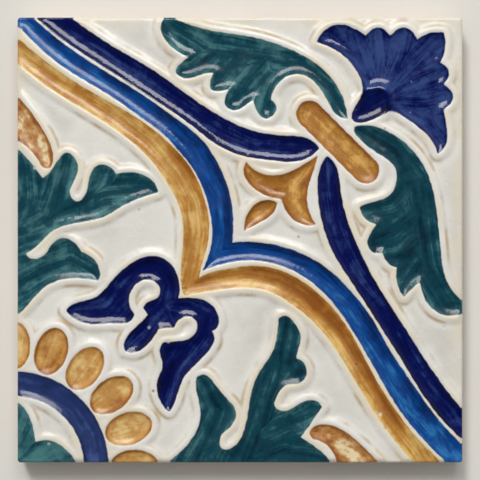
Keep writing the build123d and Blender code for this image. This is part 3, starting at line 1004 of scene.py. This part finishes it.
def painted_glaze(palette):
    """Material of the face: tin white ground, the coloured glazes and the marks of the kiln."""
    material, tree, shader = new_material("painted_glaze")
    field = {}
    for name in FIELDS:
        field[name] = add_node(tree, "ShaderNodeAttribute", attribute_name=f"tile_{name}").outputs["Fac"]
    brush = {"Along": field["along"], "Across": field["across"]}
    ground = add_node(tree, "ShaderNodeGroup", node_tree=tin_ground_group(palette))
    set_inputs(tree, ground, {"Ridge": field["ridge"], "Edge": field["edge"], "Ochre": field["ochre"]})
    colour = ground.outputs["Colour"]
    wash_tree = glaze_wash_group()
    roughness = WHITE_ROUGHNESS
    for glaze in GLAZES:
        wash = add_node(tree, "ShaderNodeGroup", node_tree=wash_tree)
        set_inputs(tree, wash, {"Depth": field[glaze], "Tone": field["tone"], **brush, **GLAZE_HABITS[glaze]})
        for shade in ("deep", "body", "light"):
            wash.inputs[shade.capitalize()].default_value = getattr(palette, f"{glaze}_{shade}")
        colour = blend(tree, wash.outputs["Mask"], colour, wash.outputs["Colour"])
        roughness = rise(tree, wash.outputs["Mask"], 0.0, 1.0, roughness, GLAZE_ROUGHNESS[glaze])
    marks = add_node(tree, "ShaderNodeGroup", node_tree=kiln_marks_group())
    set_inputs(tree, marks, {"Scale": MARK_SCALE, "Amount": SPECK_AMOUNT})
    specks = product(tree, marks.outputs["Specks"], SPECK_STRENGTH)
    colour = blend(tree, specks, colour, palette.speck_brown)
    # Pinholes are painted pale: white body showing through, together with a painted glint
    pinholes = product(tree, marks.outputs["Pits"], PINHOLE_STRENGTH)
    colour = blend(tree, pinholes, colour, palette.tin_white)
    surface = add_node(tree, "ShaderNodeGroup", node_tree=glaze_surface_group())
    height = add_share(tree, marks.outputs["Pits"], -PIT_DEPTH, surface.outputs["Height"])
    roughness = product(tree, roughness, surface.outputs["Dulling"])
    set_inputs(tree, shader, {"Base Color": colour, "Roughness": roughness, "IOR": GLAZE_IOR})
    bump(tree, shader, height)
    return material


def fired_clay(palette):
    """Material of the sides and the bed face."""
    material, tree, shader = new_material("fired_clay")
    clay = add_node(tree, "ShaderNodeGroup", node_tree=fired_clay_group(palette))
    set_inputs(tree, shader, {"Base Color": clay.outputs["Colour"], "Roughness": clay.outputs["Roughness"]})
    bump(tree, shader, clay.outputs["Height"])
    return material


def floor_paper(look):
    """Material of the stage's pale floor."""
    material, tree, shader = new_material("floor_paper")
    cloud = noise_value(tree, millimetres(tree), "floor clouds")
    colour = blend(tree, cloud, look.floor_pale, look.floor_shade)
    set_inputs(tree, shader, {"Base Color": colour, "Roughness": FLOOR_ROUGHNESS})
    return material


class MESH_OT_relief_tile(bpy.types.Operator):
    """Build the glazed tile over the solid one"""

    bl_idname = "mesh.relief_tile"
    bl_label = "Build Relief Tile"
    bl_options = {"REGISTER", "UNDO"}

    def execute(self, context):
        mesh = tile_mesh(context.scene.relief_tile_look)
        palette = context.scene.glaze_palette
        mesh.materials.append(painted_glaze(palette))
        mesh.materials.append(fired_clay(palette))
        tile = bpy.data.objects.new("glazed_tile", mesh)
        context.scene.collection.objects.link(tile)
        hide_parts("tile")
        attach(tile, "root")
        return {"FINISHED"}


def add_light(context, name, kind, place, settings):
    """A light at a place, aimed at the middle of the tile's face."""
    data = bpy.data.lights.new(name, kind)
    for setting, value in settings.items():
        setattr(data, setting, value)
    light = bpy.data.objects.new(name, data)
    light.location = place
    light.rotation_mode = "QUATERNION"
    light.rotation_quaternion = (Vector((0, 0, CAD_HIGH.z)) - Vector(place)).to_track_quat("-Z", "Y")
    context.scene.collection.objects.link(light)
    return light


def soft_sky(look):
    """World that is bright low down on the window's side and dim overhead and behind."""
    world = bpy.data.worlds.new("soft_sky")
    world.use_nodes = True
    tree = world.node_tree
    sky = tree.nodes["Background"]
    toward = add_node(tree, "ShaderNodeTexCoord").outputs["Generated"]
    parts = add_node(tree, "ShaderNodeSeparateXYZ", {0: toward}).outputs
    height = rise(tree, parts["Z"], 0.3, 0.92, look.horizon_strength, look.zenith_strength)
    window_side = rise(tree, parts["Y"], -0.7, 0.6, 0.4, 1.15)
    set_inputs(tree, sky, {"Color": SKY_COLOUR, "Strength": product(tree, height, window_side)})
    return world


class SCENE_OT_tile_stage(bpy.types.Operator):
    """Set the floor, the lights and the camera that looks straight down"""

    bl_idname = "scene.tile_stage"
    bl_label = "Set Tile Stage"
    bl_options = {"REGISTER", "UNDO"}

    def execute(self, context):
        scene = context.scene
        look = scene.tile_stage_look
        reach = FLOOR_REACH * (CAD_HIGH.x - CAD_LOW.x)
        sheet = bpy.data.meshes.new("floor")
        corners = [(-reach, -reach, 0), (reach, -reach, 0), (reach, reach, 0), (-reach, reach, 0)]
        lift = Vector((0, 0, CAD_LOW.z + FLOOR_LIFT * MM))
        sheet.from_pydata([Vector(corner) + lift for corner in corners], [], [(0, 1, 2, 3)])
        sheet.materials.append(floor_paper(look))
        floor = bpy.data.objects.new("floor", sheet)
        scene.collection.objects.link(floor)

        add_light(context, "window_light", "AREA", WINDOW_PLACE, {
            "shape": "RECTANGLE",
            "size": 0.54,
            "size_y": 0.3,
            "energy": look.window_power,
            "color": LAMP_COLOUR,
        })
        raking = add_light(context, "raking_light", "SUN", RAKING_PLACE, {
            "angle": math.radians(14),
            "energy": look.raking_strength,
            "color": LAMP_COLOUR,
        })
        overhead = add_light(context, "overhead_light", "SUN", OVERHEAD_PLACE, {
            "angle": math.radians(60),
            "energy": look.overhead_strength,
            "color": LAMP_COLOUR,
        })
        for light in (raking, overhead):
            light.visible_glossy = False
        scene.world = soft_sky(look)

        data = bpy.data.cameras.new("camera")
        data.lens = look.lens
        data.dof.use_dof = False
        half_width = (CAD_HIGH.x - CAD_LOW.x) / 2 / look.fill
        distance = half_width * data.lens / (data.sensor_width / 2)
        data.clip_start = 0.01
        data.clip_end = 100.0
        camera = bpy.data.objects.new("camera", data)
        camera.location = (0, 0, CAD_HIGH.z + distance)
        scene.collection.objects.link(camera)
        scene.camera = camera
        scene.view_settings.view_transform = "Standard"
        return {"FINISHED"}


class VIEW3D_PT_relief_tile(bpy.types.Panel):
    """Settings of the tile and its stage"""

    bl_idname = "VIEW3D_PT_relief_tile"
    bl_label = "Relief Tile"
    bl_space_type = "VIEW_3D"
    bl_region_type = "UI"
    bl_category = "Tile"

    def draw(self, context):
        layout = self.layout
        groups = {
            "relief_tile_look": None,
            "glaze_palette": "mesh.relief_tile",
            "tile_stage_look": "scene.tile_stage",
        }
        for group, operator in groups.items():
            look = getattr(context.scene, group)
            column = layout.column()
            for name in look.__annotations__:
                column.prop(look, name)
            if operator:
                column.operator(operator)


CLASSES = (
    ReliefTileLook,
    GlazePalette,
    TileStageLook,
    MESH_OT_relief_tile,
    SCENE_OT_tile_stage,
    VIEW3D_PT_relief_tile,
)


def register():
    for item in CLASSES:
        bpy.utils.register_class(item)
    bpy.types.Scene.relief_tile_look = bpy.props.PointerProperty(type=ReliefTileLook)
    bpy.types.Scene.glaze_palette = bpy.props.PointerProperty(type=GlazePalette)
    bpy.types.Scene.tile_stage_look = bpy.props.PointerProperty(type=TileStageLook)


def unregister():
    del bpy.types.Scene.tile_stage_look
    del bpy.types.Scene.glaze_palette
    del bpy.types.Scene.relief_tile_look
    for item in reversed(CLASSES):
        bpy.utils.unregister_class(item)


def main():
    register()
    bpy.ops.mesh.relief_tile()
    bpy.ops.scene.tile_stage()


if __name__ == "__main__":
    main()
